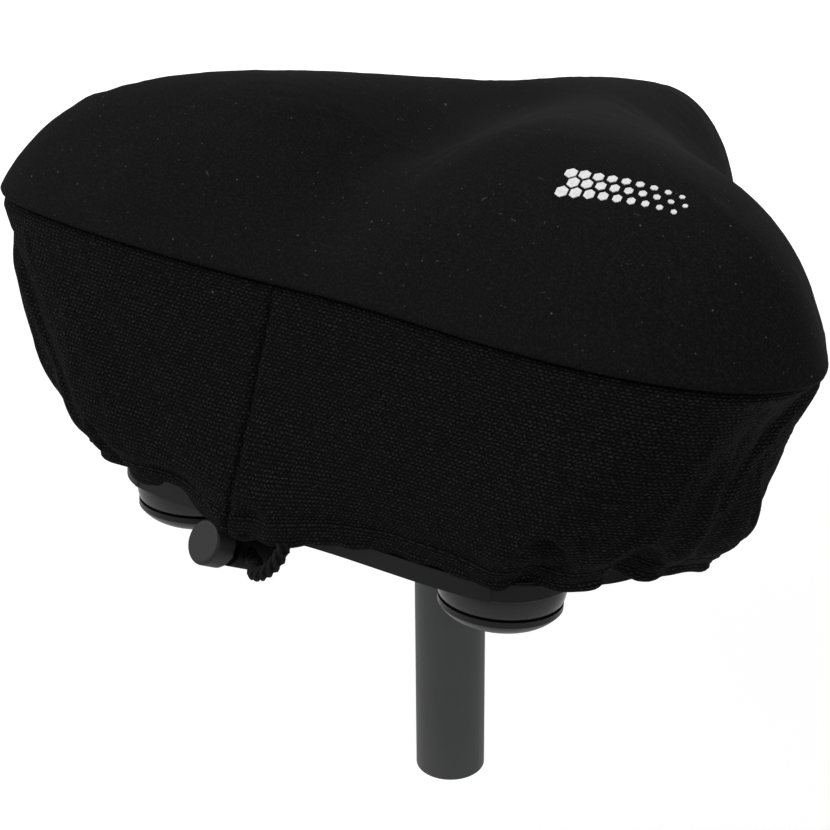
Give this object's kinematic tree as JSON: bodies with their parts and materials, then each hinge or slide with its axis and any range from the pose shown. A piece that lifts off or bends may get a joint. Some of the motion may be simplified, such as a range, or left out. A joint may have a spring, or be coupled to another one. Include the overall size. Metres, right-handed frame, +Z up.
{
  "type": "bicycle saddle",
  "caption": "Wide padded bicycle saddle with a slip-on knitted gel cover, drawcord lock, rear bumpers, rail clamp and a short round post stub.",
  "frame": {"origin": "middle of the post's lower end", "axes": "+Y towards the saddle's nose, +X to the rider's right, +Z up along the post"},
  "size_m": [0.2594, 0.248, 0.2278],
  "materials": {
    "post_steel": "dark brushed, slightly dull",
    "clamp_steel": "black painted, satin",
    "fastener_steel": "zinc plated",
    "rail_steel": "black enamel",
    "plate_steel": "black enamel",
    "bumper_elastomer": "smooth, moulded",
    "cap_plastic": "glossy moulded",
    "insert_brass": "plain",
    "base_plastic": "satin moulded",
    "spring_steel": "plain",
    "foam": "open cell",
    "skin": "smooth coated sheet",
    "gel": "soft translucent gel",
    "top_cloth": "fine stretch cloth",
    "skirt_knit": "coarse open knit",
    "hem_cloth": "folded and stitched knit",
    "cord_braid": "braided cord",
    "lock_plastic": "matte moulded"
  },
  "bodies": {
    "post": {"seatpost": "post_steel"},
    "collar": {"clamp_collar": "clamp_steel", "clamp_bolt": "fastener_steel", "clamp_nuts": "fastener_steel", "clamp_washers": "fastener_steel"},
    "cradle": {"clamp_inner_cheek_left": "clamp_steel", "clamp_inner_cheek_right": "clamp_steel", "clamp_outer_cheek_left": "clamp_steel", "clamp_outer_cheek_right": "clamp_steel"},
    "rails": {"rail_wire": "rail_steel", "rear_plate": "plate_steel"},
    "saddle": {"base_shell": "base_plastic", "bumper_cap_left": "cap_plastic", "bumper_cap_right": "cap_plastic", "bumper_bolts": "fastener_steel", "bumper_inserts": "insert_brass", "bumper_left": "bumper_elastomer", "bumper_right": "bumper_elastomer", "nose_clip": "rail_steel", "nose_clip_screws": "fastener_steel", "saddle_foam": "foam", "saddle_skin": "skin", "cover_foam": "foam", "gel_pad_left": "gel", "gel_pad_right": "gel", "cover_top": "top_cloth", "skirt_left": "skirt_knit", "skirt_right": "skirt_knit", "hem_channel": "hem_cloth", "drawcord": "cord_braid", "cord_tail": "cord_braid", "cord_knot": "cord_braid", "cord_lock_barrel": "lock_plastic", "cord_lock_spring": "spring_steel"},
    "lock_button": {"cord_lock_button": "lock_plastic"}
  },
  "joints": [
    {"name": "saddle_swivel", "type": "hinge", "parent": "post", "child": "collar", "pos_m": [0, 0, 0.0845], "axis": [0, 0, 1], "continuous": true},
    {"name": "seat_tilt", "type": "hinge", "parent": "collar", "child": "cradle", "pos_m": [0, 0.0178, 0.0845], "axis": [1, 0, 0], "range_deg": [-10, 18]},
    {"name": "rail_slide", "type": "slide", "parent": "cradle", "child": "rails", "axis": [0, 0.9912, -0.1323], "range_m": [-0.015, 0.015]},
    {"name": "suspension", "type": "hinge", "parent": "rails", "child": "saddle", "pos_m": [0, 0.10609, 0.10349], "axis": [1, 0, 0], "range_deg": [0, 1], "stiffness_Nm_per_rad": 250, "springref_deg": -0.2, "deforming": ["bumper_left", "bumper_right"]},
    {"name": "lock_press", "type": "slide", "parent": "saddle", "child": "lock_button", "axis": [0.2243, 0.8422, -0.4903], "range_m": [0, 0.003], "stiffness_N_per_m": 400, "springref_m": -0.004, "deforming": ["cord_lock_spring"]}
  ]
}
